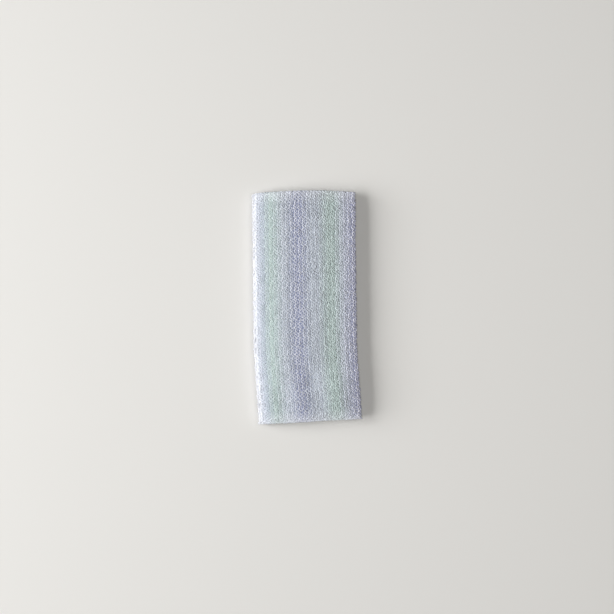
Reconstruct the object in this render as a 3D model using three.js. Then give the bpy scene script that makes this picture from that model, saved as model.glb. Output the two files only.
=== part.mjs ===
// Body wash towel: one knitted cloth folded into a long flat pad that rests on z = 0.
// The cloth runs back and forth along Y in quarters, and the strip of plies that this makes runs
// back and forth along X in thirds. Millimetres, +Z up, origin under the middle of the pad.
import * as THREE from "three";

// The cloth laid flat
const FLAT_WIDTH = 300;
const FLAT_LENGTH = 900;
const CLOTH_THICKNESS = 1.2;
const CLOTH_COLOUR = 0xb2b8c6;
const CLOTH_ROUGHNESS = 0.85;

// The stack: each ply lies this far above the last, which leaves a small gap under it
const PLY_PITCH = 1.5;

// Where the cloth turns back or ends, in the order it is folded. side is the end of the pad, and
// past is how far the stop lies beyond its even place.
const LENGTH_STOPS = [
  { stop: "under hem", side: -1, past: 0.6 },
  { stop: "lower top fold", side: 1, past: 1.8 },
  { stop: "bottom fold", side: -1, past: 1.6 },
  { stop: "upper top fold", side: 1, past: 1.3 },
  { stop: "upper hem", side: -1, past: 1.9 },
];
const WIDTH_STOPS = [
  { stop: "lower selvage", side: -1, past: -1.8 },
  { stop: "right fold", side: 1, past: -2 },
  { stop: "left fold", side: -1, past: -0.4 },
  { stop: "upper selvage", side: 1, past: -0.4 },
];

// The selvages and hems wander in and out along the cloth, in two waves laid over each other
const EDGE_WANDER = 0.2;
const WANDER_WAVES = [
  { length: 71, start: 0.3 },
  { length: 173, start: 1.9 },
];

// How finely the cloth is divided between its folds and around them
const LENGTH_STEPS = 10;
const WIDTH_STEPS = 11;
const LENGTH_TURN_STEPS = 3;
const WIDTH_TURN_STEPS = 6;
const SHORTEST_STEP = 2;

// The pad leans to the right as it comes down, and sweeps further in its lower part
const LEAN_TILT = 0.0105;
const SWEEP_SHIFT = 4.4;
const SWEEP_FROM_Y = -28;
const SWEEP_TO_Y = -128;

// The bottom edge runs up to the right, and the top edge drops towards both corners
const BOTTOM_SKEW = 2.8;
const TOP_CORNER_DROP = 2.2;
const TOP_CREST_X = 10;
const SKEW_FROM_Y = 20;

// How much of its height the pad loses over its left shoulder, down the slope to the right of its
// middle, along its free selvages and towards its ends
const SHOULDER_SINK = 0.37;
const SHOULDER_FROM_X = -14;
const SLOPE_SINK = 0.16;
const SLOPE_FROM_X = 0;
const SLOPE_TO_X = 44;
const SELVAGE_SINK = 0.12;
const SELVAGE_FROM_X = 37;
const END_SINK = 0.2;
const END_FROM_Y = 84;

// Soft ridges (rise above 0) and troughs (below 0) in the top, with their half widths
const RIPPLES = [
  { place: "trough in the lower middle", x: 5, y: -74, across: 8, along: 13, rise: -1.1 },
  { place: "ridge right of that trough", x: 29, y: -90, across: 13, along: 24, rise: 1.5 },
  { place: "trough near the hem, left", x: -24, y: -97, across: 8, along: 18, rise: -1.1 },
  { place: "ridge near the hem, left", x: -6, y: -95, across: 9, along: 18, rise: 0.6 },
  { place: "bulge on the left shoulder", x: -44, y: 22, across: 10, along: 28, rise: 0.6 },
  { place: "dip on the left shoulder", x: -44, y: -34, across: 10, along: 24, rise: -0.4 },
];

// Sizes that follow from the folds
const LENGTH_RUNS = LENGTH_STOPS.length - 1;
const WIDTH_RUNS = WIDTH_STOPS.length - 1;
const STRIP_PITCH = LENGTH_RUNS * PLY_PITCH;
const STRIP_HALF = ((LENGTH_RUNS - 1) * PLY_PITCH + CLOTH_THICKNESS) / 2;
const STACK_HEIGHT = (WIDTH_RUNS - 1) * STRIP_PITCH + 2 * STRIP_HALF;
const LENGTH_REACH = (PLY_PITCH + CLOTH_THICKNESS) / 2;
const WIDTH_REACH = STRIP_PITCH / 2 + STRIP_HALF;

// Half the distance between the folds at the two ends of the pad, so that the cloth's runs and the
// half circles between them add up to its flat size
function foldHalf(flat, runs, pitch, reach) {
  const turns = ((runs - 1) * Math.PI * pitch) / 2;
  return (flat - turns - 2 * reach) / (2 * runs);
}

const LENGTH_HALF = foldHalf(FLAT_LENGTH, LENGTH_RUNS, PLY_PITCH, LENGTH_REACH);
const WIDTH_HALF = foldHalf(FLAT_WIDTH, WIDTH_RUNS, STRIP_PITCH, WIDTH_REACH);
const PAD_HALF_LENGTH = LENGTH_HALF + LENGTH_REACH;
const PAD_HALF_WIDTH = WIDTH_HALF + WIDTH_REACH;

// Places of the stops: a free end lies level with the outside of the folds
function placeStops(stops, half, reach) {
  return stops.map((row, index) => {
    const free = index === 0 || index === stops.length - 1;
    return row.side * (half + row.past + (free ? reach : 0));
  });
}

// Stations of one run of cloth, shared by every ply so that the plies stay parallel
function stationsBetween(start, end, half, steps) {
  const low = Math.min(start, end) + SHORTEST_STEP;
  const high = Math.max(start, end) - SHORTEST_STEP;
  const inner = [];
  for (let k = 0; k <= steps; k += 1) {
    const at = half * ((2 * k) / steps - 1);
    if (at > low && at < high) {
      inner.push(at);
    }
  }
  if (end < start) {
    inner.reverse();
  }
  return [start, ...inner, end];
}

// One back-and-forth fold. Each point has the place and level of the middle of the layer, the
// direction (outAlong, outUp) that its upper face looks in, how far along the layer it is, and at a
// free end the side that the end lies on.
function foldPath(stops, pitch, half, steps, turnSteps) {
  const radius = pitch / 2;
  const runs = stops.length - 1;
  const path = [];
  for (let run = 0; run < runs; run += 1) {
    const level = (run - (runs - 1) / 2) * pitch;
    const facing = run % 2 === 0 ? 1 : -1;
    for (const at of stationsBetween(stops[run], stops[run + 1], half, steps)) {
      path.push({ at, level, outAlong: 0, outUp: facing, freeSide: 0 });
    }
    if (run === runs - 1) {
      break;
    }
    for (let k = 1; k < turnSteps; k += 1) {
      const angle = (Math.PI * k) / turnSteps;
      path.push({
        at: stops[run + 1] + facing * radius * Math.sin(angle),
        level: level + radius * (1 - Math.cos(angle)),
        outAlong: -Math.sin(angle),
        outUp: facing * Math.cos(angle),
        freeSide: 0,
      });
    }
  }
  let travel = 0;
  path.forEach((point, index) => {
    const last = path[Math.max(index - 1, 0)];
    travel += Math.hypot(point.at - last.at, point.level - last.level);
    point.travel = travel;
  });
  for (const end of [path[0], path[path.length - 1]]) {
    end.freeSide = Math.sign(end.at);
  }
  return path;
}

// How far a selvage or hem wanders outwards at a distance along it
function edgeWander(travel) {
  let wander = 0;
  for (const wave of WANDER_WAVES) {
    wander += EDGE_WANDER * Math.sin((2 * Math.PI * travel) / wave.length + wave.start);
  }
  return wander;
}

// How far a place lies past a start, as a squared share of the way to the edge
function pastShare(place, start, edge) {
  return (Math.max(0, place - start) / (edge - start)) ** 2;
}

// How much of its even height the pad keeps
function keptHeight(x, y) {
  const shoulder = SHOULDER_SINK * pastShare(-x, -SHOULDER_FROM_X, PAD_HALF_WIDTH);
  const slope = SLOPE_SINK * THREE.MathUtils.smoothstep(x, SLOPE_FROM_X, SLOPE_TO_X);
  const selvage = SELVAGE_SINK * pastShare(x, SELVAGE_FROM_X, PAD_HALF_WIDTH);
  const end = END_SINK * pastShare(Math.abs(y), END_FROM_Y, PAD_HALF_LENGTH);
  let kept = (1 - shoulder) * (1 - slope) * (1 - selvage) * (1 - end);
  for (const row of RIPPLES) {
    const dx = (x - row.x) / row.across;
    const dy = (y - row.y) / row.along;
    kept += (row.rise / STACK_HEIGHT) * Math.exp(-dx * dx - dy * dy);
  }
  return kept;
}

// Moves a point of the even stack to its place in the uneven pad. The underside stays flat.
function settle(point) {
  const { x, y, z } = point;
  const sweep = SWEEP_SHIFT * THREE.MathUtils.smoothstep(-y, -SWEEP_FROM_Y, -SWEEP_TO_Y);
  const low = THREE.MathUtils.smoothstep(-y, -SKEW_FROM_Y, PAD_HALF_LENGTH);
  const high = THREE.MathUtils.smoothstep(y, SKEW_FROM_Y, PAD_HALF_LENGTH);
  const skew = (BOTTOM_SKEW * x) / PAD_HALF_WIDTH;
  const drop = TOP_CORNER_DROP * ((x - TOP_CREST_X) / PAD_HALF_WIDTH) ** 2;
  return new THREE.Vector3(
    x - LEAN_TILT * y + sweep,
    y + low * skew - high * drop,
    z * keptHeight(x, y),
  );
}

// A point of the cloth, given its places along both folds and its offset from the cloth's middle
function clothPoint(across, along, offset) {
  const hem = along.freeSide * edgeWander(across.travel);
  const selvage = across.freeSide * edgeWander(along.travel);
  const y = along.at + hem + offset * along.outAlong;
  const height = along.level + offset * along.outUp;
  const x = across.at + selvage + height * across.outAlong;
  const z = STACK_HEIGHT / 2 + across.level + height * across.outUp;
  return settle(new THREE.Vector3(x, y, z));
}

// Two triangles of a quad, split from its first corner
function splitQuad([a, b, c, d]) {
  return [a, b, c, a, c, d];
}

// The whole cloth as one closed sheet: both faces, and the rim along its selvages and hems. Quads
// are split the same way in every ply, so that the plies stay parallel.
function clothGeometry() {
  const widthStops = placeStops(WIDTH_STOPS, WIDTH_HALF, WIDTH_REACH);
  const lengthStops = placeStops(LENGTH_STOPS, LENGTH_HALF, LENGTH_REACH);
  const across = foldPath(widthStops, STRIP_PITCH, WIDTH_HALF, WIDTH_STEPS, WIDTH_TURN_STEPS);
  const along = foldPath(lengthStops, PLY_PITCH, LENGTH_HALF, LENGTH_STEPS, LENGTH_TURN_STEPS);
  const columns = across.length;
  const rows = along.length;
  const points = [];
  for (const offset of [-CLOTH_THICKNESS / 2, CLOTH_THICKNESS / 2]) {
    for (const column of across) {
      for (const row of along) {
        points.push(clothPoint(column, row, offset));
      }
    }
  }

  const under = (i, j) => i * rows + j;
  const upper = (i, j) => columns * rows + i * rows + j;
  const triangles = [];
  for (let i = 0; i < columns - 1; i += 1) {
    for (let j = 0; j < rows - 1; j += 1) {
      const ring = [[i, j], [i + 1, j], [i + 1, j + 1], [i, j + 1]];
      const mirrored = (across[i + 1].at - across[i].at) * (along[j + 1].at - along[j].at) < 0;
      if (mirrored) {
        ring.push(ring.shift());
      }
      const [first, ...others] = ring;
      triangles.push(...splitQuad(ring.map((corner) => upper(...corner))));
      triangles.push(...splitQuad([first, ...others.reverse()].map((corner) => under(...corner))));
    }
  }

  const rim = [];
  for (let i = 0; i < columns - 1; i += 1) {
    rim.push([i, 0]);
  }
  for (let j = 0; j < rows - 1; j += 1) {
    rim.push([columns - 1, j]);
  }
  for (let i = columns - 1; i > 0; i -= 1) {
    rim.push([i, rows - 1]);
  }
  for (let j = rows - 1; j > 0; j -= 1) {
    rim.push([0, j]);
  }
  rim.forEach((start, index) => {
    const end = rim[(index + 1) % rim.length];
    triangles.push(under(...start), under(...end), upper(...end));
    triangles.push(under(...start), upper(...end), upper(...start));
  });

  const geometry = new THREE.BufferGeometry().setFromPoints(points);
  geometry.setIndex(triangles);
  geometry.computeBoundingBox();
  const centre = geometry.boundingBox.getCenter(new THREE.Vector3());
  geometry.translate(-centre.x, -centre.y, 0);
  geometry.computeVertexNormals();
  return geometry;
}

function makeTowel() {
  const knit = new THREE.MeshStandardMaterial({
    color: CLOTH_COLOUR,
    roughness: CLOTH_ROUGHNESS,
    metalness: 0,
  });
  const towel = new THREE.Mesh(clothGeometry(), knit);
  towel.name = "towel";
  return towel;
}

const pad = new THREE.Group();
pad.add(makeTowel());

export default pad;
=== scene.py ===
"""Looks of a folded, striped body wash towel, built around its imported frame.

One knitted nylon cloth is folded back and forth in quarters along its length, and the strip of plies
that this makes is folded back and forth in thirds across its width. The cloth is a thin sheet on
those folds, and its knit is yarn swept along the columns of stitches by Geometry Nodes. Sizes are in
metres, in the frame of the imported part: +X right, +Y towards the folded end, +Z up.
"""
import logging
import math
from dataclasses import dataclass, field, replace
from enum import Enum

import bpy
import numpy as np
from bpy.types import Material, Mesh, Node, NodeSocket, NodeTree, Object
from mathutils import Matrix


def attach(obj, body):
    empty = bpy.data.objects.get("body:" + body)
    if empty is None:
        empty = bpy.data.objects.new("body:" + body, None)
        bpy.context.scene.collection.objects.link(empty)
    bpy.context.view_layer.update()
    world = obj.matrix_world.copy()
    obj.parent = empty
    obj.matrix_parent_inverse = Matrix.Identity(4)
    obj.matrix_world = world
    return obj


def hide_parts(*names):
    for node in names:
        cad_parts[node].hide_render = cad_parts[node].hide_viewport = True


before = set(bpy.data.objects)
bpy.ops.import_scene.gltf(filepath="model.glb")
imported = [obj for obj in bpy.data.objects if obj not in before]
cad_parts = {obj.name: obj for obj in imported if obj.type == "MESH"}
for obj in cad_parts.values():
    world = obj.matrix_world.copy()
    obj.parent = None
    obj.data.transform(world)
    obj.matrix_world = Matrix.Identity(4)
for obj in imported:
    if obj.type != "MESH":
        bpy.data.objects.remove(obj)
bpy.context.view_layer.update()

MM = 0.001
PHOTO_PIXELS = 614
BODY = "root"
NODE = "towel"
BAKE_MAP = "OFBake"
# Noise lies mostly within a quarter of its middle, so four times as much spans about 1 each way.
NOISE_MIDDLE = 0.5
NOISE_SPREAD = 4.0
log = logging.getLogger("towel")

Colour = tuple[float, float, float]


def smoothstep(value: np.ndarray, low: float, high: float) -> np.ndarray:
    """Eases from 0 at low to 1 at high.

    Args:
        value: Numbers to ease.
        low: Where the ease starts.
        high: Where the ease ends.

    Returns:
        Numbers from 0 to 1, of the same shape as value.
    """
    t = np.clip((value - low) / (high - low), 0.0, 1.0)
    return t * t * (3.0 - 2.0 * t)


def linear(colour: Colour) -> tuple[float, float, float, float]:
    """Turns a display colour into the linear colour that shader sockets take, by the sRGB curve.

    Args:
        colour: Red, green and blue as seen on a screen, from 0 to 1.

    Returns:
        Linear red, green, blue and full alpha.
    """
    channels = [c / 12.92 if c <= 0.04045 else ((c + 0.055) / 1.055) ** 2.4 for c in colour]
    return (*channels, 1.0)


class Part(Enum):
    """The parts of the folded cloth that are knitted as pieces of their own."""

    TOP = "top"
    UNDER = "under"
    EDGES = "edges"


class Dye(Enum):
    """The depths of dye in the knit: three kinds of yarn, and the cloth behind them."""

    PALE = "pale_yarn"
    MIXED = "mixed_yarn"
    FULL = "dyed_yarn"
    GROUND = "ground_cloth"


@dataclass(frozen=True)
class Stop:
    """A place where the cloth turns back or ends, and how far it lies past its even place."""

    name: str
    side: int
    past: float


@dataclass(frozen=True)
class Ripple:
    """A soft ridge (rise above 0) or trough (below 0) in the top of the pad."""

    name: str
    x: float
    y: float
    across: float
    along: float
    rise: float


@dataclass(frozen=True)
class Wave:
    """One wave in the line of a selvage or hem."""

    length: float
    start: float


@dataclass(frozen=True)
class Lie:
    """How a layer lies at points along a fold: its place and level, and where its face looks."""

    at: np.ndarray
    level: np.ndarray
    out_along: np.ndarray
    out_up: np.ndarray


@dataclass
class FoldPath:
    """A layer folded back and forth, followed by the distance along its middle."""

    stops: tuple[Stop, ...]
    flat: float
    pitch: float
    reach: float

    def __post_init__(self) -> None:
        """Works out the runs between the stops, and where each starts along the layer."""
        self.runs = len(self.stops) - 1
        self.radius = self.pitch / 2.0
        self.turn = math.pi * self.radius
        self.half = (self.flat - (self.runs - 1) * self.turn - 2.0 * self.reach) / (2.0 * self.runs)
        sides = np.array([stop.side for stop in self.stops])
        past = np.array([stop.past for stop in self.stops])
        free = np.zeros(self.runs + 1)
        free[[0, -1]] = self.reach
        self.places = sides * (self.half + past + free)
        self.lengths = np.abs(np.diff(self.places))
        self.starts = np.concatenate([[0.0], np.cumsum(self.lengths[:-1] + self.turn)])
        self.total = float(self.starts[-1] + self.lengths[-1])

    def locate(self, distance: np.ndarray) -> Lie:
        """Finds how the layer lies at distances along its middle.

        Args:
            distance: Distances from the layer's first end.

        Returns:
            The lie of the layer at each distance.
        """
        run = np.clip(np.searchsorted(self.starts, distance, side="right") - 1, 0, self.runs - 1)
        facing = np.where(run % 2 == 0, 1.0, -1.0)
        local = distance - self.starts[run]
        straight = np.minimum(local, self.lengths[run])
        angle = np.clip((local - straight) / self.radius, 0.0, math.pi)
        at = self.places[run] + facing * (straight + self.radius * np.sin(angle))
        level = (run - (self.runs - 1) / 2.0) * self.pitch + self.radius * (1.0 - np.cos(angle))
        return Lie(at, level, -np.sin(angle), facing * np.cos(angle))

    def stations(self, run_step: float, turn_steps: int) -> np.ndarray:
        """Spreads stations along the layer, evenly in each run and each turn.

        Args:
            run_step: Longest step in a run.
            turn_steps: Steps around a turn.

        Returns:
            Rising distances along the layer, both ends included.
        """
        pieces = []
        for start, length in zip(self.starts, self.lengths):
            steps = max(1, math.ceil(length / run_step))
            pieces.append(np.linspace(start, start + length, steps + 1))
            turn = np.linspace(0.0, self.turn, turn_steps + 1)[1:-1]
            pieces.append(start + length + turn)
        return np.concatenate(pieces[:-1])


@dataclass
class FoldedCloth:
    """The towel's cloth: its flat size, its folds and the uneven pad that they settle into."""

    flat_width: float = 300.0 * MM
    flat_length: float = 900.0 * MM
    thickness: float = 1.2 * MM
    ply_pitch: float = 1.5 * MM
    lean_tilt: float = 0.0105
    sweep_shift: float = 4.4 * MM
    sweep_from_y: float = -28.0 * MM
    sweep_to_y: float = -128.0 * MM
    bottom_skew: float = 2.8 * MM
    top_corner_drop: float = 2.2 * MM
    top_crest_x: float = 10.0 * MM
    skew_from_y: float = 20.0 * MM
    shoulder_sink: float = 0.37
    shoulder_from_x: float = -14.0 * MM
    slope_sink: float = 0.16
    slope_from_x: float = 0.0 * MM
    slope_to_x: float = 44.0 * MM
    selvage_sink: float = 0.12
    selvage_from_x: float = 37.0 * MM
    end_sink: float = 0.2
    end_from_y: float = 84.0 * MM
    outline_step: float = 8.0 * MM
    outline_across_turns: int = 6
    outline_along_turns: int = 3
    probe: float = 0.05 * MM
    edge_wander: float = 0.2 * MM
    wander_reach: float = 5.0 * MM
    wander_waves: tuple[Wave, ...] = (Wave(71.0 * MM, 0.3), Wave(173.0 * MM, 1.9))
    length_stops: tuple[Stop, ...] = (
        Stop("under hem", -1, 0.6 * MM),
        Stop("lower top fold", 1, 1.8 * MM),
        Stop("bottom fold", -1, 1.6 * MM),
        Stop("upper top fold", 1, 1.3 * MM),
        Stop("upper hem", -1, 1.9 * MM),
    )
    width_stops: tuple[Stop, ...] = (
        Stop("lower selvage", -1, -1.8 * MM),
        Stop("right fold", 1, -2.0 * MM),
        Stop("left fold", -1, -0.4 * MM),
        Stop("upper selvage", 1, -0.4 * MM),
    )
    ripples: tuple[Ripple, ...] = (
        Ripple("trough in the lower middle", 5 * MM, -74 * MM, 8 * MM, 13 * MM, -1.1 * MM),
        Ripple("ridge right of that trough", 29 * MM, -90 * MM, 13 * MM, 24 * MM, 1.5 * MM),
        Ripple("trough near the hem, left", -24 * MM, -97 * MM, 8 * MM, 18 * MM, -1.1 * MM),
        Ripple("ridge near the hem, left", -6 * MM, -95 * MM, 9 * MM, 18 * MM, 0.6 * MM),
        Ripple("bulge on the left shoulder", -44 * MM, 22 * MM, 10 * MM, 28 * MM, 0.6 * MM),
        Ripple("dip on the left shoulder", -44 * MM, -34 * MM, 10 * MM, 24 * MM, -0.4 * MM),
    )

    def __post_init__(self) -> None:
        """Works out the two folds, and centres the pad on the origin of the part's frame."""
        plies = len(self.length_stops) - 1
        thirds = len(self.width_stops) - 1
        strip_pitch = plies * self.ply_pitch
        strip_half = ((plies - 1) * self.ply_pitch + self.thickness) / 2.0
        self.height = (thirds - 1) * strip_pitch + 2.0 * strip_half
        length_reach = (self.ply_pitch + self.thickness) / 2.0
        width_reach = strip_pitch / 2.0 + strip_half
        self.along = FoldPath(self.length_stops, self.flat_length, self.ply_pitch, length_reach)
        self.across = FoldPath(self.width_stops, self.flat_width, strip_pitch, width_reach)
        self.half_length = self.along.half + length_reach
        self.half_width = self.across.half + width_reach
        self.outer_turn = math.pi * width_reach
        self.centre = np.zeros(2)
        faces = [self._grid(side * self.thickness / 2.0) for side in (-1, 1)]
        spread = np.concatenate(faces)[:, :2]
        self.centre = (spread.min(axis=0) + spread.max(axis=0)) / 2.0

    def _grid(self, offset: float) -> np.ndarray:
        """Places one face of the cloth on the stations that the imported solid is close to.

        Args:
            offset: Distance of the face from the cloth's middle.

        Returns:
            Points of the face.
        """
        u_line = self.across.stations(self.outline_step, self.outline_across_turns)
        v_line = self.along.stations(self.outline_step, self.outline_along_turns)
        u, v = np.meshgrid(u_line, v_line)
        return self.points(u.ravel(), v.ravel(), np.full(u.size, offset))

    def edge_shift(self, path: FoldPath, distance: np.ndarray, travel: np.ndarray) -> np.ndarray:
        """Gives how far points near a layer's free ends wander.

        Args:
            path: The fold that the free ends belong to.
            distance: Distances along that fold.
            travel: Distances along the edge, in the other direction of the cloth.

        Returns:
            Shifts along the fold's direction.
        """
        waves = [np.sin(2.0 * math.pi * travel / w.length + w.start) for w in self.wander_waves]
        first = np.clip(1.0 - distance / self.wander_reach, 0.0, 1.0)
        last = np.clip(1.0 - (path.total - distance) / self.wander_reach, 0.0, 1.0)
        sides = np.sign(path.places[0]) * first + np.sign(path.places[-1]) * last
        return sides * (self.edge_wander * np.sum(waves, axis=0))

    def squash(self, x: np.ndarray, y: np.ndarray) -> np.ndarray:
        """Gives how much of its even height the pad keeps.

        Args:
            x: Places across the even stack.
            y: Places along the even stack.

        Returns:
            Shares of the even height.
        """
        left = np.maximum(0.0, self.shoulder_from_x - x) / (self.half_width + self.shoulder_from_x)
        right = np.maximum(0.0, x - self.selvage_from_x) / (self.half_width - self.selvage_from_x)
        ends = np.maximum(0.0, np.abs(y) - self.end_from_y) / (self.half_length - self.end_from_y)
        slope = smoothstep(x, self.slope_from_x, self.slope_to_x)
        kept = (1.0 - self.shoulder_sink * left**2) * (1.0 - self.slope_sink * slope)
        kept = kept * (1.0 - self.selvage_sink * right**2) * (1.0 - self.end_sink * ends**2)
        for row in self.ripples:
            far = ((x - row.x) / row.across) ** 2 + ((y - row.y) / row.along) ** 2
            kept = kept + row.rise / self.height * np.exp(-far)
        return kept

    def settle(self, x: np.ndarray, y: np.ndarray, z: np.ndarray) -> np.ndarray:
        """Moves points of the even stack to their places in the uneven pad.

        Args:
            x: Places across the stack.
            y: Places along the stack.
            z: Heights above the surface that the pad rests on.

        Returns:
            Points, one row each.
        """
        sweep = self.sweep_shift * smoothstep(-y, -self.sweep_from_y, -self.sweep_to_y)
        low = smoothstep(-y, -self.skew_from_y, self.half_length)
        high = smoothstep(y, self.skew_from_y, self.half_length)
        skew = self.bottom_skew * x / self.half_width
        drop = self.top_corner_drop * ((x - self.top_crest_x) / self.half_width) ** 2
        moved_x = x - self.lean_tilt * y + sweep - self.centre[0]
        moved_y = y + low * skew - high * drop - self.centre[1]
        moved_z = z * self.squash(x, y)
        return np.stack([moved_x, moved_y, moved_z], axis=-1)

    def points(self, u: np.ndarray, v: np.ndarray, offset: np.ndarray) -> np.ndarray:
        """Places points of the cloth.

        Args:
            u: Distances along the fold across the pad.
            v: Distances along the fold along the pad.
            offset: Distances from the cloth's middle.

        Returns:
            Points, one row each.
        """
        across = self.across.locate(u)
        along = self.along.locate(v)
        y = along.at + self.edge_shift(self.along, v, u) + offset * along.out_along
        rise = along.level + offset * along.out_up
        x = across.at + self.edge_shift(self.across, u, v) + rise * across.out_along
        z = self.height / 2.0 + across.level + rise * across.out_up
        return self.settle(x, y, z)

    def directions(self, u: np.ndarray, v: np.ndarray) -> tuple[np.ndarray, np.ndarray, np.ndarray]:
        """Finds the cloth's own directions at its points.

        Args:
            u: Distances along the fold across the pad.
            v: Distances along the fold along the pad.

        Returns:
            Unit vectors across the cloth, along it, and out of the face that shows.
        """
        none = np.zeros_like(u)
        across = self.points(u + self.probe, v, none) - self.points(u - self.probe, v, none)
        along = self.points(u, v + self.probe, none) - self.points(u, v - self.probe, none)
        outward = self.points(u, v, none - self.probe) - self.points(u, v, none)
        return tuple(w / np.linalg.norm(w, axis=1, keepdims=True) for w in (across, along, outward))

    def wale_place(self, distance: np.ndarray) -> np.ndarray:
        """Turns distances over the outermost ply into distances along the fold across the pad.

        The outermost ply goes the long way round each side fold, so its columns of stitches stay
        evenly spaced there.

        Args:
            distance: Distances from the upper selvage, over the outermost ply.

        Returns:
            Distances along the fold across the pad.
        """
        own, middle = [0.0], [self.across.total]
        for index in range(self.across.runs - 1, -1, -1):
            own.append(own[-1] + self.across.lengths[index])
            middle.append(middle[-1] - self.across.lengths[index])
            if index > 0:
                own.append(own[-1] + self.outer_turn)
                middle.append(middle[-1] - self.across.turn)
        return np.interp(distance, own, middle)

    def cloth_width(self) -> float:
        """Gives the width of the cloth, measured over the outermost ply."""
        return float(self.across.lengths.sum() + (self.across.runs - 1) * self.outer_turn)


class NodeDesk:
    """A node tree with short ways to add and join nodes."""

    def __init__(self, tree: NodeTree) -> None:
        """Keeps the tree that nodes are added to."""
        self.tree = tree

    def add(self, kind: str, **settings: object) -> Node:
        """Adds a node.

        Args:
            kind: The node's type.
            settings: Properties to set on it.

        Returns:
            The new node.
        """
        node = self.tree.nodes.new(kind)
        for name, value in settings.items():
            setattr(node, name, value)
        return node

    def feed(self, socket: NodeSocket, value: object) -> None:
        """Joins an output to a socket, or sets the socket to a plain value.

        Args:
            socket: The input socket.
            value: An output socket or a plain value.
        """
        if isinstance(value, NodeSocket):
            self.tree.links.new(value, socket)
        else:
            socket.default_value = value

    def maths(self, operation: str, first: object, second: object = 0.0) -> NodeSocket:
        """Adds a sum of two numbers.

        Args:
            operation: The operation's name.
            first: First number or output.
            second: Second number or output.

        Returns:
            The result's output.
        """
        node = self.add("ShaderNodeMath", operation=operation)
        self.feed(node.inputs[0], first)
        self.feed(node.inputs[1], second)
        return node.outputs[0]

    def vector(self, operation: str, first: object, second: object) -> NodeSocket:
        """Adds a sum of vectors, where SCALE takes a number second.

        Args:
            operation: The operation's name.
            first: First vector or output.
            second: Second vector, number or output.

        Returns:
            The result's output.
        """
        node = self.add("ShaderNodeVectorMath", operation=operation)
        self.feed(node.inputs[0], first)
        self.feed(node.inputs["Scale"] if operation == "SCALE" else node.inputs[1], second)
        return node.outputs[0]

    def attribute(self, name: str, kind: str = "FLOAT_VECTOR") -> NodeSocket:
        """Adds a geometry node that reads a named attribute.

        Args:
            name: The attribute's name.
            kind: Its data type.

        Returns:
            The attribute's output.
        """
        node = self.add("GeometryNodeInputNamedAttribute", data_type=kind)
        node.inputs["Name"].default_value = name
        return node.outputs["Attribute"]

    def noise(self, place: NodeSocket, size: object, detail: float) -> Node:
        """Adds a noise texture.

        Args:
            place: Where the noise is read.
            size: Size of its spots, a number or an output.
            detail: How many finer layers it has.

        Returns:
            The noise's node.
        """
        node = self.add("ShaderNodeTexNoise")
        linked = isinstance(size, NodeSocket)
        self.feed(node.inputs["Vector"], place)
        self.feed(node.inputs["Scale"], self.maths("DIVIDE", 1.0, size) if linked else 1.0 / size)
        self.feed(node.inputs["Detail"], detail)
        return node

    def spread(self, noise: NodeSocket, reach: NodeSocket) -> NodeSocket:
        """Centres a noise on 0, and spreads it to about a reach each way."""
        centred = self.maths("SUBTRACT", noise, NOISE_MIDDLE)
        return self.maths("MULTIPLY", centred, self.maths("MULTIPLY", reach, NOISE_SPREAD))

    def scatter(self, noise: NodeSocket, reach: NodeSocket) -> NodeSocket:
        """Centres a noise's three channels on 0, and spreads them to about a reach each way."""
        centred = self.vector("SUBTRACT", noise, (NOISE_MIDDLE,) * 3)
        return self.vector("SCALE", centred, self.maths("MULTIPLY", reach, NOISE_SPREAD))


@dataclass(frozen=True)
class StrandShape:
    """How one kind of yarn runs: sizes of its loops and of the yarn, and how its steps stretch."""

    radius: float
    swing: float
    shift: float = 0.0
    lift: float = 0.0
    curl: float = 0.0
    rise: float = 0.0
    phase: float = 0.0
    course: float = 3.0 * MM
    drift: float = 0.42 * MM
    drift_length: float = 9.0 * MM
    crimp: float = 0.2 * MM
    crimp_size: float = 2.1 * MM
    bow: float = 1.6
    stray: float = 0.3 * MM
    stray_size: float = 10.0 * MM
    slub: float = 0.25
    flatten: float = 0.75
    seed: int = 3
    stretch: float = 1.0


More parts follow.
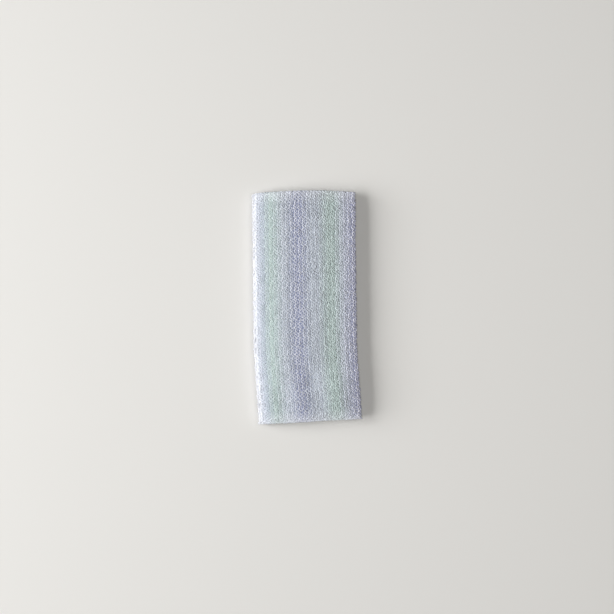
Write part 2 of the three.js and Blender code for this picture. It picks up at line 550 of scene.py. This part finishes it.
class StrandTree:
    """The Geometry Nodes tree that loops yarn to and fro along lines laid on the cloth.

    The lines carry their own attributes: flat, the place on the flat cloth; travel, the distance that
    the loops are counted by; start, a shift of the loops; and across, along and outward, directions
    on the cloth.
    """

    SIZES = (
        "radius", "swing", "shift", "lift", "curl", "rise", "phase", "course", "drift", "drift_length",
        "crimp", "crimp_size", "bow", "stray", "stray_size", "slub", "flatten",
    )
    # Attributes that only the sweep needs.
    PASSING = ("across", "along", "outward", "spine", "travel", "start")
    STRAY_DETAIL = 1.0
    CRIMP_DETAIL = 0.0
    SECOND_DRIFT = 0.7

    def __init__(self) -> None:
        """Builds the tree."""
        self.tree = bpy.data.node_groups.new("looped_yarn", "GeometryNodeTree")
        self._input("Lines", "NodeSocketGeometry")
        self.sockets = {size: self._input(size.replace("_", " ").title()) for size in self.SIZES}
        self.sockets["seed"] = self._input("Seed", "NodeSocketInt")
        self.sides_socket = self._input("Sides", "NodeSocketInt")
        self.material_socket = self._input("Yarn", "NodeSocketMaterial")
        self.tree.interface.new_socket(name="Knit", in_out="OUTPUT", socket_type="NodeSocketGeometry")
        self.desk = NodeDesk(self.tree)
        self.given = self.desk.add("NodeGroupInput").outputs
        self._fill()

    def _input(self, name: str, kind: str = "NodeSocketFloat") -> str:
        """Adds an input to the tree, and gives its identifier."""
        return self.tree.interface.new_socket(name=name, in_out="INPUT", socket_type=kind).identifier

    def _fill(self) -> None:
        """Adds the nodes that loop the lines, sweep yarn along them and dress it."""
        desk = self.desk
        place = desk.add("GeometryNodeInputPosition").outputs[0]
        grain = desk.noise(place, self.given["Crimp Size"], self.CRIMP_DETAIL)
        grain.noise_dimensions = "4D"
        desk.feed(grain.inputs["W"], self.given["Seed"])

        lines = desk.add("GeometryNodeMeshToCurve")
        desk.feed(lines.inputs["Mesh"], self.given["Lines"])
        moved = desk.add("GeometryNodeSetPosition")
        desk.feed(moved.inputs["Geometry"], lines.outputs["Curve"])
        desk.feed(moved.inputs["Offset"], self._looped(place, grain.outputs["Color"]))
        swept = self._swept(moved.outputs["Geometry"], grain.outputs["Fac"])

        made = self._seated(swept)
        for kind in ("SetShadeSmooth", "RealizeInstances", "SetMaterial"):
            node = desk.add("GeometryNode" + kind)
            desk.feed(node.inputs["Geometry"], made)
            made = node.outputs["Geometry"]
        desk.feed(node.inputs["Material"], self.given["Yarn"])
        desk.feed(desk.add("NodeGroupOutput").inputs[0], made)

    def _looped(self, place: NodeSocket, grain: NodeSocket) -> NodeSocket:
        """Finds how far each point of a line moves to become part of a loop.

        Args:
            place: The points' places.
            grain: Fine noise at the points.

        Returns:
            The points' offsets.
        """
        desk = self.desk
        given = self.given
        uneven = desk.noise(place, given["Stray Size"], self.STRAY_DETAIL)
        bow = desk.spread(uneven.outputs["Fac"], given["Bow"])
        start = desk.maths("ADD", desk.attribute("start", "FLOAT"), bow)
        travel = desk.maths("MULTIPLY", desk.attribute("travel", "FLOAT"), 2.0 * math.pi)
        counted = desk.maths("DIVIDE", travel, given["Course"])
        angle = desk.maths("ADD", desk.maths("ADD", counted, given["Phase"]), start)
        slow = desk.maths("ADD", desk.maths("DIVIDE", travel, given["Drift Length"]), start)

        swing = desk.maths("MULTIPLY", desk.maths("SINE", angle), given["Swing"])
        second = desk.maths("SINE", desk.maths("MULTIPLY", slow, 2.0))
        second = desk.maths("MULTIPLY", second, self.SECOND_DRIFT)
        drift = desk.maths("ADD", desk.maths("SINE", slow), second)
        drift = desk.maths("MULTIPLY", drift, given["Drift"])
        sidestep = desk.maths("ADD", desk.maths("ADD", swing, drift), given["Shift"])
        lift = desk.maths("MULTIPLY", desk.maths("SINE", angle), given["Lift"])
        climb = desk.maths("ADD", lift, given["Rise"])
        curl = desk.maths("SINE", desk.maths("MULTIPLY", angle, 2.0))
        curl = desk.maths("MULTIPLY", curl, given["Curl"])

        sideways = desk.vector("SCALE", desk.attribute("across"), sidestep)
        upwards = desk.vector("SCALE", desk.attribute("outward"), climb)
        onwards = desk.vector("SCALE", desk.attribute("along"), curl)
        stray = desk.scatter(uneven.outputs["Color"], given["Stray"])
        loose = desk.vector("ADD", desk.scatter(grain, given["Crimp"]), stray)
        loose = desk.vector("ADD", onwards, self._pressed(loose))
        return desk.vector("ADD", desk.vector("ADD", sideways, upwards), loose)

    def _swept(self, lines: NodeSocket, grain: NodeSocket) -> NodeSocket:
        """Sweeps yarn of uneven girth along looped lines.

        Args:
            lines: The looped lines.
            grain: Fine noise along them.

        Returns:
            The yarn, which keeps the place of its middle as the attribute spine.
        """
        desk = self.desk
        kept = desk.add("GeometryNodeStoreNamedAttribute", data_type="FLOAT_VECTOR", domain="POINT")
        desk.feed(kept.inputs["Geometry"], lines)
        desk.feed(kept.inputs["Name"], "spine")
        desk.feed(kept.inputs["Value"], desk.add("GeometryNodeInputPosition").outputs[0])
        swell = desk.maths("ADD", desk.spread(grain, self.given["Slub"]), 1.0)
        ring = desk.add("GeometryNodeCurvePrimitiveCircle", mode="RADIUS")
        desk.feed(ring.inputs["Resolution"], self.given["Sides"])
        desk.feed(ring.inputs["Radius"], 1.0)
        sweep = desk.add("GeometryNodeCurveToMesh")
        desk.feed(sweep.inputs["Curve"], kept.outputs["Geometry"])
        desk.feed(sweep.inputs["Profile Curve"], ring.outputs["Curve"])
        desk.feed(sweep.inputs["Scale"], desk.maths("MULTIPLY", self.given["Radius"], swell))
        desk.feed(sweep.inputs["Fill Caps"], True)
        return sweep.outputs["Mesh"]

    def _seated(self, yarn: NodeSocket) -> NodeSocket:
        """Presses yarn flat on the cloth, and keeps it above the surface that the pad rests on.

        Args:
            yarn: The swept yarn.

        Returns:
            The pressed yarn.
        """
        desk = self.desk
        spine = desk.attribute("spine")
        beside = desk.vector("SUBTRACT", desk.add("GeometryNodeInputPosition").outputs[0], spine)
        parts = desk.add("ShaderNodeSeparateXYZ")
        desk.feed(parts.inputs[0], desk.vector("ADD", spine, self._pressed(beside)))
        rested = desk.add("ShaderNodeCombineXYZ")
        desk.feed(rested.inputs["X"], parts.outputs["X"])
        desk.feed(rested.inputs["Y"], parts.outputs["Y"])
        desk.feed(rested.inputs["Z"], desk.maths("MAXIMUM", parts.outputs["Z"], 0.0))
        seated = desk.add("GeometryNodeSetPosition")
        desk.feed(seated.inputs["Geometry"], yarn)
        desk.feed(seated.inputs["Position"], rested.outputs[0])
        return seated.outputs["Geometry"]

    def _pressed(self, offset: NodeSocket) -> NodeSocket:
        """Presses offsets towards the cloth.

        Args:
            offset: The offsets.

        Returns:
            The pressed offsets.
        """
        desk = self.desk
        outward = desk.attribute("outward")
        height = desk.add("ShaderNodeVectorMath", operation="DOT_PRODUCT")
        desk.feed(height.inputs[0], offset)
        desk.feed(height.inputs[1], outward)
        lost = desk.maths("MULTIPLY", height.outputs["Value"], self.given["Flatten"])
        return desk.vector("SUBTRACT", offset, desk.vector("SCALE", outward, lost))

    def sweep(self, lines: Object, shape: StrandShape, sides: int, yarn: Material) -> Mesh:
        """Loops yarn along lines and gives it as a plain mesh.

        Args:
            lines: Object whose mesh holds the lines. It is removed.
            shape: Sizes of the loops.
            sides: Sides around the yarn.
            yarn: The yarn's material.

        Returns:
            The swept yarn.
        """
        worker = lines.modifiers.new("looped_yarn", "NODES")
        worker.node_group = self.tree
        for size, identifier in self.sockets.items():
            worker[identifier] = getattr(shape, size)
        worker[self.sides_socket] = sides
        worker[self.material_socket] = yarn
        graph = bpy.context.evaluated_depsgraph_get()
        made = bpy.data.meshes.new_from_object(lines.evaluated_get(graph), depsgraph=graph)
        lines.modifiers.remove(worker)
        path = lines.data
        bpy.data.objects.remove(lines)
        bpy.data.meshes.remove(path)
        for name in self.PASSING:
            if name in made.attributes:
                made.attributes.remove(made.attributes[name])
        return made


@dataclass(frozen=True)
class Stripe:
    """One stripe of the repeat: how many columns of stitches it takes, and its dye."""

    name: str
    wales: int
    pale: Colour
    deep: Colour


@dataclass(frozen=True)
class StripeChart:
    """The repeat of stripes across the cloth, counted in columns of stitches from the selvage."""

    wale_pitch: float = 4.07 * MM
    first_wale: float = 1.3 * MM
    lead_in: float = 0.5
    blend: float = 1.3
    # Painted light: within a reach of each fold and hem the dye is mixed towards a pale colour, by the
    # share given here.
    painted_end_light: float = 0.36
    painted_end_light_reach: float = 14.0 * MM
    painted_end_light_colour: Colour = (0.93, 0.94, 0.965)
    fold_pitch: float = 228.0 * MM
    stripes: tuple[Stripe, ...] = (
        # The selvage is partly its own paler, dotted edge and partly painted light: its pale yarn is
        # lightened where the right edge lies in shade.
        Stripe("selvage", 1, (0.94, 0.94, 0.965), (0.59, 0.605, 0.725)),
        Stripe("edge violet", 1, (0.89, 0.895, 0.93), (0.60, 0.62, 0.72)),
        Stripe("edge lavender", 2, (0.835, 0.848, 0.892), (0.675, 0.70, 0.75)),
        Stripe("mint", 4, (0.78, 0.828, 0.822), (0.665, 0.732, 0.724)),
        Stripe("lavender grey", 4, (0.828, 0.85, 0.884), (0.67, 0.70, 0.745)),
        Stripe("violet", 4, (0.88, 0.885, 0.91), (0.50, 0.53, 0.655)),
        Stripe("lavender", 3, (0.84, 0.86, 0.89), (0.64, 0.67, 0.715)),
        Stripe("second mint", 3, (0.80, 0.845, 0.84), (0.635, 0.705, 0.70)),
        Stripe("second lavender grey", 2, (0.81, 0.835, 0.88), (0.64, 0.67, 0.73)),
        # This stripe over the left fold is a painted highlight: pale and deep alike near-white, where side
        # light strikes the fold.
        Stripe("pale lavender", 5, (0.955, 0.958, 0.98), (0.955, 0.96, 0.98)),
        Stripe("second violet", 2, (0.88, 0.885, 0.91), (0.50, 0.53, 0.655)),
    )

    def repeat(self) -> int:
        """Gives the number of columns of stitches in one repeat."""
        return sum(stripe.wales for stripe in self.stripes)

    def _stops(self, depth: float) -> list[tuple[float, tuple[float, ...]]]:
        """Gives the places in the repeat where each stripe's full colour starts and ends.

        Args:
            depth: How deep the dye is.

        Returns:
            Places from 0 to 1, with their linear colours.
        """
        stops = []
        counted = 0.0
        for stripe in self.stripes:
            ends = zip(linear(stripe.pale), linear(stripe.deep))
            shade = tuple((1.0 - depth) * pale + depth * deep for pale, deep in ends)
            inside = min(self.blend, stripe.wales / 2.0)
            stops.append(((counted + inside) / self.repeat(), shade))
            stops.append(((counted + stripe.wales - inside) / self.repeat(), shade))
            counted += stripe.wales
        (first, early), (last, late) = stops[0], stops[-1]
        share = (1.0 - last) / (1.0 - last + first)
        seam = tuple((1.0 - share) * a + share * b for a, b in zip(late, early))
        return [(0.0, seam), *stops, (1.0, seam)]

    def colour(self, desk: NodeDesk, depth: float) -> NodeSocket:
        """Adds the nodes that give the dye at each place of the flat cloth, with painted light near each
        fold and hem.

        Args:
            desk: The material's nodes.
            depth: How deep the dye is, from 0 for each stripe's pale colour to 1 for its deep one.

        Returns:
            The colour's output.
        """
        flat = desk.add("ShaderNodeAttribute", attribute_name="flat")
        parts = desk.add("ShaderNodeSeparateXYZ")
        desk.feed(parts.inputs[0], flat.outputs["Vector"])
        over = desk.maths("SUBTRACT", parts.outputs["X"], self.first_wale)
        wale = desk.maths("DIVIDE", over, self.wale_pitch)
        place = desk.maths("DIVIDE", desk.maths("ADD", wale, self.lead_in), float(self.repeat()))
        ramp = desk.add("ShaderNodeValToRGB")
        desk.feed(ramp.inputs[0], desk.maths("FRACT", place))
        stops = ramp.color_ramp.elements
        while len(stops) > 1:
            stops.remove(stops[-1])
        for index, (at, shade) in enumerate(self._stops(depth)):
            stop = stops[0] if index == 0 else stops.new(at)
            stop.position = at
            stop.color = shade
        # Painted light near each fold and hem: the dye is mixed towards a pale colour there.
        inside = desk.maths("PINGPONG", parts.outputs["Y"], self.fold_pitch / 2.0)
        near = desk.add("ShaderNodeMapRange", interpolation_type="SMOOTHSTEP")
        desk.feed(near.inputs["Value"], inside)
        desk.feed(near.inputs["From Min"], self.painted_end_light_reach)
        desk.feed(near.inputs["From Max"], 0.0)
        desk.feed(near.inputs["To Max"], self.painted_end_light)
        painted_end_lit = desk.add("ShaderNodeMix", data_type="RGBA")
        desk.feed(painted_end_lit.inputs["Factor"], near.outputs["Result"])
        desk.feed(painted_end_lit.inputs["A"], ramp.outputs["Color"])
        desk.feed(painted_end_lit.inputs["B"], linear(self.painted_end_light_colour))
        return painted_end_lit.outputs["Result"]


@dataclass(frozen=True)
class YarnFinish:
    """Dyed nylon: how pale it is beside the stripe's dye, and how its surface takes light."""

    dye: Dye
    depth: float
    roughness: float = 0.6
    sheen: float = 0.25
    sheen_roughness: float = 0.4
    mottle: float = 0.28
    mottle_size: float = 2.2 * MM
    fibre_size: float = 0.28 * MM
    fibre_bump: float = 0.2
    fibre_depth: float = 0.06 * MM
    noise_detail: float = 2.0

    def make(self, chart: StripeChart) -> Material:
        """Makes the material.

        Args:
            chart: The stripes that the dye follows.

        Returns:
            The new material.
        """
        material = bpy.data.materials.new(self.dye.value)
        material.use_nodes = True
        desk = NodeDesk(material.node_tree)
        shader = material.node_tree.nodes["Principled BSDF"]
        dye = chart.colour(desk, self.depth)
        place = desk.add("ShaderNodeTexCoord").outputs["Object"]

        blotch = desk.noise(place, self.mottle_size, self.noise_detail)
        tone = desk.maths("SUBTRACT", blotch.outputs["Fac"], NOISE_MIDDLE)
        tone = desk.maths("MULTIPLY", tone, self.mottle)
        shaded = desk.vector("SCALE", dye, desk.maths("ADD", tone, 1.0))
        desk.feed(shader.inputs["Base Color"], shaded)

        fibre = desk.noise(place, self.fibre_size, self.noise_detail)
        bump = desk.add("ShaderNodeBump")
        desk.feed(bump.inputs["Height"], fibre.outputs["Fac"])
        desk.feed(bump.inputs["Strength"], self.fibre_bump)
        desk.feed(bump.inputs["Distance"], self.fibre_depth)
        desk.feed(shader.inputs["Normal"], bump.outputs["Normal"])

        shader.inputs["Roughness"].default_value = self.roughness
        shader.inputs["Sheen Weight"].default_value = self.sheen
        shader.inputs["Sheen Roughness"].default_value = self.sheen_roughness
        return material


@dataclass(frozen=True)
class PaperFinish:
    """The plain pale surface that the towel lies on."""

    name: str = "pale_paper"
    colour: Colour = (0.855, 0.85, 0.837)
    roughness: float = 0.9
    specular: float = 0.2

    def make(self) -> Material:
        """Makes the material.

        Returns:
            The new material.
        """
        material = bpy.data.materials.new(self.name)
        material.use_nodes = True
        shader = material.node_tree.nodes["Principled BSDF"]
        shader.inputs["Base Color"].default_value = linear(self.colour)
        shader.inputs["Roughness"].default_value = self.roughness
        shader.inputs["Specular IOR Level"].default_value = self.specular
        return material


def new_piece(name: str, mesh: Mesh) -> Object:
    """Puts a mesh in the scene.

    Args:
        name: The piece's name.
        mesh: Its mesh, in the part's frame.

    Returns:
        The new object, at the origin.
    """
    mesh.name = name
    piece = bpy.data.objects.new(name, mesh)
    bpy.context.scene.collection.objects.link(piece)
    return piece


def write_attribute(mesh: Mesh, name: str, values: np.ndarray) -> None:
    """Stores a number or a vector for each vertex.

    Args:
        mesh: The mesh.
        name: The attribute's name.
        values: One number, or one row of three, for each vertex.
    """
    kind, key = ("FLOAT", "value") if values.ndim == 1 else ("FLOAT_VECTOR", "vector")
    made = mesh.attributes.new(name, kind, "POINT")
    made.data.foreach_set(key, values.astype(np.float32).ravel())


def add_bake_map(mesh: Mesh) -> None:
    """Lays the piece out by its place on the flat cloth, spread over the whole map.

    Args:
        mesh: A mesh with the attribute flat.
    """
    flat = np.empty(len(mesh.vertices) * 3, np.float32)
    mesh.attributes["flat"].data.foreach_get("vector", flat)
    flat = flat.reshape(-1, 3)[:, :2]
    low, high = flat.min(axis=0), flat.max(axis=0)
    corners = np.empty(len(mesh.loops), np.int32)
    mesh.loops.foreach_get("vertex_index", corners)
    layer = mesh.uv_layers.new(name=BAKE_MAP)
    layer.data.foreach_set("uv", ((flat - low) / (high - low))[corners].ravel())


@dataclass
class Line:
    """A line that yarn runs along: its places across and along the flat cloth, and its loops' shift."""

    own: np.ndarray
    v: np.ndarray
    start: float
    hem: bool = False


@dataclass
class Towel:
    """The folded towel: its thin sheet of cloth, and the yarn knitted on it."""

    cloth: FoldedCloth = field(default_factory=FoldedCloth)
    chart: StripeChart = field(default_factory=StripeChart)
    sheet_thickness: float = 0.12 * MM
    sheet_across_step: float = 2.5 * MM
    sheet_along_step: float = 8.0 * MM
    sheet_turn_steps: int = 8
    fold_margin: float = 4.0 * MM
    hem_inset: float = 0.7 * MM
    selvage_wales: int = 2
    start_jitter: float = 0.6
    edge_flatten: float = 0.45
    place_samples: int = 400
    seed: int = 11
    steps: dict[Part, float] = field(
        default_factory=lambda: {Part.TOP: 0.33 * MM, Part.UNDER: 0.75 * MM, Part.EDGES: 0.75 * MM}
    )
    sides: dict[Part, int] = field(default_factory=lambda: {Part.TOP: 4, Part.UNDER: 3, Part.EDGES: 3})

    def __post_init__(self) -> None:
        """Counts the columns of stitches and draws their small differences."""
        self.tree = StrandTree()
        reach = self.cloth.cloth_width() - 2.0 * self.chart.first_wale
        self.wales = math.ceil(reach / self.chart.wale_pitch) + 1
        jitter = np.random.default_rng(self.seed)
        self.starts = jitter.uniform(-self.start_jitter, self.start_jitter, self.wales)

    def build_sheet(self, finish: Material) -> Object:
        """Builds the thin sheet that the knit lies on, both faces and rim.

        Args:
            finish: The sheet's material.

        Returns:
            The sheet's object.
        """
        cloth = self.cloth
        u_line = cloth.across.stations(self.sheet_across_step, self.sheet_turn_steps)
        v_line = cloth.along.stations(self.sheet_along_step, self.sheet_turn_steps // 2)
        u, v = np.meshgrid(u_line, v_line, indexing="ij")
        half = self.sheet_thickness / 2.0
        faces = [cloth.points(u.ravel(), v.ravel(), np.full(u.size, side * half)) for side in (-1, 1)]
        columns, rows = u.shape
        index = np.arange(columns * rows).reshape(columns, rows)
        quads = np.stack([index[:-1, :-1], index[1:, :-1], index[1:, 1:], index[:-1, 1:]], axis=-1)
        quads = quads.reshape(-1, 4)
        ring = np.concatenate([index[:-1, 0], index[-1, :-1], index[:0:-1, -1], index[0, :0:-1]])
        after = np.roll(ring, -1)
        upper = columns * rows
        rim = np.stack([ring, after, after + upper, ring + upper], axis=-1)
        mesh = bpy.data.meshes.new("towel_sheet")
        everything = np.concatenate([quads[:, ::-1], quads + upper, rim])
        mesh.from_pydata(np.concatenate(faces).tolist(), [], everything.tolist())
        own = np.linspace(0.0, cloth.cloth_width(), self.place_samples)[::-1]
        over = np.interp(u.ravel(), cloth.wale_place(own), own)
        flat = np.stack([over, v.ravel(), np.zeros(u.size)], axis=-1)
        write_attribute(mesh, "flat", np.concatenate([flat, flat]))
        add_bake_map(mesh)
        mesh.shade_smooth()
        mesh.materials.append(finish)
        return new_piece("towel_sheet", mesh)

    def _spans(self, wale: int, part: Part) -> list[tuple[float, float]]:
        """Gives the stretches of a column of stitches that show in a part of the pad.

        Args:
            wale: Which column, counted from the upper selvage.
            part: Which part.

        Returns:
            Starts and ends along the cloth's length.
        """
        cloth = self.cloth
        along, across = cloth.along, cloth.across
        place = float(cloth.wale_place(np.array([self._own(wale)]))[0])
        end = along.total
        folds = along.starts[1:] - along.turn / 2.0
        reach = along.turn / 2.0 + self.fold_margin
        bands = [(0.0, self.fold_margin), (end - self.fold_margin, end)]
        bands += [(fold - reach, fold + reach) for fold in folds]
        on_top = place > across.starts[-1] - across.turn
        under = place < across.lengths[0] + across.turn
        at_selvage = wale < self.selvage_wales or wale >= self.wales - self.selvage_wales
        main = (folds[-1] - reach, end) if on_top else (0.0, folds[0] + reach)
        if part is Part.TOP:
            return [main] if on_top else []
        if part is Part.UNDER:
            return [main] if under else []
        if at_selvage:
            return [(0.0, main[0])] if on_top else [(main[1], end)]
        if on_top or under:
            return [band for band in bands if band[1] <= main[0] or band[0] >= main[1]]
        return bands

    def _own(self, wale: int) -> float:
        """Gives a column's distance from the upper selvage, over the outermost ply."""
        even = self.chart.first_wale + wale * self.chart.wale_pitch
        return min(even, self.cloth.cloth_width() - self.chart.first_wale)

    def wale_lines(self, part: Part, step: float) -> list[Line]:
        """Lays a line along each column of stitches that shows in a part of the pad.

        Args:
            part: Which part.
            step: Distance between points on a line.

        Returns:
            The lines.
        """
        lines = []
        for wale in range(self.wales):
            for low, high in self._spans(wale, part):
                v = np.linspace(low, high, max(2, round((high - low) / step) + 1))
                lines.append(Line(np.full(v.size, self._own(wale)), v, self.starts[wale]))
        return lines

    def hem_lines(self) -> list[Line]:
        """Lays a line along each hem, over the whole width of the cloth.

        Returns:
            The lines.
        """
        width = self.cloth.cloth_width()
        own = np.linspace(0.0, width, round(width / self.steps[Part.TOP]) + 1)
        places = (self.hem_inset, self.cloth.along.total - self.hem_inset)
        return [Line(own, np.full(own.size, place), 0.0, hem=True) for place in places]

    def knit(self, name: str, lines: list[Line], sides: int, shape: StrandShape, yarn: Material) -> Object:
        """Sweeps one kind of yarn along lines on the cloth.

        Args:
            name: The new piece's name.
            lines: The lines.
            sides: Sides around the yarn.
            shape: Sizes of the loops.
            yarn: The yarn's material.

        Returns:
            The swept yarn's object.
        """
        own = np.concatenate([line.own for line in lines])
        v = np.concatenate([line.v for line in lines])
        u = self.cloth.wale_place(own)
        counts = [line.v.size for line in lines]
        hem = np.repeat([line.hem for line in lines], counts)
        joined = np.delete(np.arange(v.size), np.cumsum(counts) - 1)
        mesh = bpy.data.meshes.new(name + "_lines")
        points = self.cloth.points(u, v, np.zeros_like(u))
        mesh.from_pydata(points.tolist(), np.stack([joined, joined + 1], axis=-1).tolist(), [])
        across, along, outward = self.cloth.directions(u, v)
        write_attribute(mesh, "across", np.where(hem[:, None], along, across))
        write_attribute(mesh, "along", np.where(hem[:, None], across, along))
        write_attribute(mesh, "outward", outward)
        write_attribute(mesh, "flat", np.stack([own, v, np.zeros_like(v)], axis=-1))
        write_attribute(mesh, "travel", np.where(hem, own, v))
        write_attribute(mesh, "start", np.repeat([line.start for line in lines], counts))
        made = self.tree.sweep(new_piece(name + "_lines", mesh), shape, sides, yarn)
        add_bake_map(made)
        return new_piece(name, made)

    def build_yarns(self, finishes: dict[Dye, Material]) -> list[Object]:
        """Builds the yarn of each part of the pad, and the chain along the hems.

        Args:
            finishes: The yarns' materials.

        Returns:
            The pieces of yarn.
        """
        yarns = []
        for part in Part:
            for kind, (shape, dye) in STRANDS.items():
                name = f"{part.value}_{kind}"
                lines = self.wale_lines(part, self.steps[part] * shape.stretch)
                if part is Part.EDGES:
                    # Both faces of the cloth show here, so the yarn lies in its middle.
                    shape = replace(shape, rise=0.0, flatten=self.edge_flatten)
                yarns.append(self.knit(name, lines, self.sides[part], shape, finishes[dye]))
        hem = self.knit("hem_chain", self.hem_lines(), self.sides[Part.TOP], HEM, finishes[Dye.PALE])
        return [*yarns, hem]


@dataclass(frozen=True)
class Lamp:
    """A flat soft light that looks at the pad."""

    name: str
    place: tuple[float, float, float]
    width: float
    height: float
    power: float

    def hang(self) -> None:
        """Hangs the light in the scene."""
        lamp = bpy.data.lights.new(self.name, "AREA")
        lamp.shape = "RECTANGLE"
        lamp.size = self.width
        lamp.size_y = self.height
        lamp.energy = self.power
        hung = bpy.data.objects.new(self.name, lamp)
        hung.location = self.place
        hung.rotation_mode = "QUATERNION"
        hung.rotation_quaternion = (-hung.location).to_track_quat("-Z", "Y")
        bpy.context.scene.collection.objects.link(hung)


@dataclass(frozen=True)
class Studio:
    """The pale surface, the soft light from the left, and the camera straight above."""

    camera_height: float = 1.5
    sensor_width: float = 36.0
    pixel: float = 0.985 * MM
    top_level: float = 15.0 * MM
    aim_x: float = 0.4 * MM
    aim_y: float = 0.3 * MM
    floor_size: float = 6.0
    lamps: tuple[Lamp, ...] = (
        Lamp("key", (-2.25, 0.0, 1.2), 2.2, 1.6, 86.5),
        Lamp("low", (-2.6, 0.0, 0.5), 1.4, 0.8, 18.0),
        Lamp("ceiling", (0.35, 0.0, 1.8), 1.2, 1.2, 14.3),
    )
    fill_strength: float = 0.097
    fill_colour: Colour = (1.0, 0.975, 0.945)

    def set_camera(self) -> None:
        """Places the camera above the pad, so that the photograph's pixels have their real size."""
        lens = bpy.data.cameras.new("camera")
        away = self.camera_height - self.top_level
        lens.sensor_width = self.sensor_width
        lens.lens = self.sensor_width * away / (PHOTO_PIXELS * self.pixel)
        camera = bpy.data.objects.new("camera", lens)
        camera.location = (self.aim_x, self.aim_y, self.camera_height)
        bpy.context.scene.collection.objects.link(camera)
        bpy.context.scene.camera = camera

    def set_floor(self) -> None:
        """Lays the pale surface."""
        half = self.floor_size / 2.0
        corners = [(-half, -half, 0.0), (half, -half, 0.0), (half, half, 0.0), (-half, half, 0.0)]
        mesh = bpy.data.meshes.new("floor")
        mesh.from_pydata(corners, [], [(0, 1, 2, 3)])
        mesh.materials.append(PaperFinish().make())
        new_piece("floor", mesh)

    def set_light(self) -> None:
        """Hangs the soft lights, and fills the room with pale light."""
        for lamp in self.lamps:
            lamp.hang()
        world = bpy.data.worlds.new("room")
        world.use_nodes = True
        sky = world.node_tree.nodes["Background"]
        sky.inputs["Color"].default_value = linear(self.fill_colour)
        sky.inputs["Strength"].default_value = self.fill_strength
        world.cycles.sampling_method = "NONE"
        bpy.context.scene.world = world
        bpy.context.scene.view_settings.view_transform = "Standard"
        bpy.context.scene.cycles.use_denoising = True
        bpy.context.scene.cycles.denoising_prefilter = "NONE"


STRANDS = {
    "chain": (
        StrandShape(
            0.50 * MM, 0.8 * MM, shift=-0.92 * MM, lift=0.02 * MM, rise=0.15 * MM, curl=0.2 * MM,
            crimp=0.42 * MM
        ),
        Dye.PALE,
    ),
    "lace": (
        StrandShape(
            0.48 * MM, 0.8 * MM, shift=0.92 * MM, lift=0.02 * MM, rise=0.12 * MM, curl=0.2 * MM,
            phase=math.pi, crimp=0.42 * MM, seed=5
        ),
        Dye.MIXED,
    ),
    "ground": (
        StrandShape(
            0.50 * MM, 1.0 * MM, shift=-1.0 * MM, rise=0.06 * MM, phase=0.5 * math.pi, seed=7, stretch=1.4
        ),
        Dye.FULL,
    ),
    "backing": (
        StrandShape(
            0.50 * MM, 1.0 * MM, shift=1.0 * MM, rise=0.04 * MM, phase=1.5 * math.pi, seed=9, stretch=1.4
        ),
        Dye.FULL,
    ),
}
HEM = StrandShape(
    0.36 * MM, 0.55 * MM, rise=0.3 * MM, lift=0.1 * MM, course=2.6 * MM, drift=0.0, crimp=0.35 * MM,
    flatten=0.5, seed=23
)
FINISHES = (
    YarnFinish(Dye.PALE, depth=0.24),
    YarnFinish(Dye.MIXED, depth=0.5),
    YarnFinish(Dye.FULL, depth=0.9),
    # The cloth behind the yarn takes its stripe's deep dye in full, a little deeper than the dyed yarn;
    # that extra depth is painted shade of the layers seen through the holes.
    YarnFinish(Dye.GROUND, depth=1.0),
)


def write_sizes() -> None:
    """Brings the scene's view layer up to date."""
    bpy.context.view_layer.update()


def main() -> None:
    """Builds the studio and the towel, and reports each piece."""
    logging.basicConfig(level=logging.INFO, format="%(name)s: %(message)s")
    studio = Studio()
    studio.set_camera()
    studio.set_floor()
    studio.set_light()

    towel = Towel()
    finishes = {finish.dye: finish.make(towel.chart) for finish in FINISHES}
    sheet = towel.build_sheet(finishes[Dye.GROUND])
    yarns = towel.build_yarns(finishes)
    for piece in (sheet, *yarns):
        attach(piece, BODY)
        piece.data.calc_loop_triangles()
        log.info("%s has %d triangles", piece.name, len(piece.data.loop_triangles))
    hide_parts(NODE)
    write_sizes()


if __name__ == "__main__":
    main()
